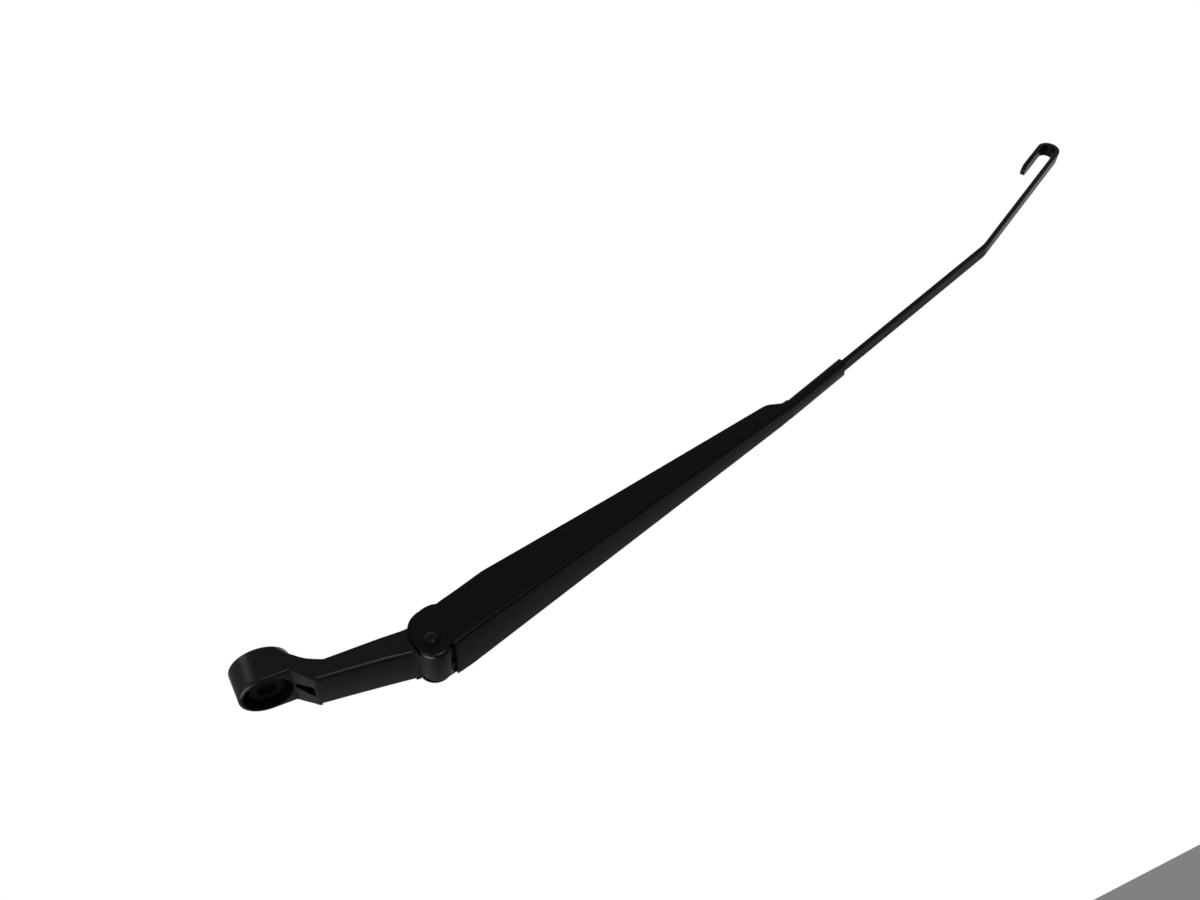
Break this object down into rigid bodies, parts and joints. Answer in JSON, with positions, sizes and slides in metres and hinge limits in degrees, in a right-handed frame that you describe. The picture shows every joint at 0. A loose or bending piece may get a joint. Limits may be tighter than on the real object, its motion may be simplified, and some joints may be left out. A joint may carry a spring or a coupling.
{
  "type": "wiper arm",
  "caption": "Black wiper arm for a windscreen: cast spindle head, hinged folded-steel channel with a tension spring, and a flat rod that ends in a J hook.",
  "frame": {"origin": "on the spindle bore's axis, at the nut seat", "axes": "+X towards the hook, +Z away from the glass along the spindle, Y along the hinge axis"},
  "size_m": [0.6487, 0.0324, 0.2266],
  "materials": {
    "cast_black": "satin black powder coat",
    "sheet_black": "satin black paint",
    "bush": "plain sintered",
    "bare_steel": "zinc plated",
    "spring_steel": "bright drawn wire"
  },
  "bodies": {
    "head": {"arm_head": "cast_black", "hinge_bush_near": "bush", "hinge_bush_far": "bush", "spring_pin": "bare_steel"},
    "arm": {"channel": "sheet_black", "hinge_pin": "sheet_black", "arm_rod": "sheet_black"},
    "link": {"spring_link": "bare_steel"},
    "spring": {"tension_spring": "spring_steel"}
  },
  "joints": [
    {"name": "arm_lift", "type": "hinge", "parent": "head", "child": "arm", "pos_m": [0.0805, 0, 0.0141], "axis": [0, -1, 0], "range_deg": [0, 95]},
    {"name": "link_swing", "type": "hinge", "parent": "head", "child": "link", "pos_m": [0.0805, 0, 0.0066], "axis": [0, -1, 0], "range_deg": [0, 92.3]},
    {"name": "spring_stretch", "type": "slide", "parent": "link", "child": "spring", "axis": [0.9681, 0, -0.2505], "range_m": [0, 0.00944], "deforming": ["tension_spring"]}
  ],
  "couplings": [
    {"joint": "link_swing", "follows": "arm_lift", "ratio": 0.9715},
    {"joint": "spring_stretch", "follows": "arm_lift", "m_per_rad": 0.00568}
  ]
}
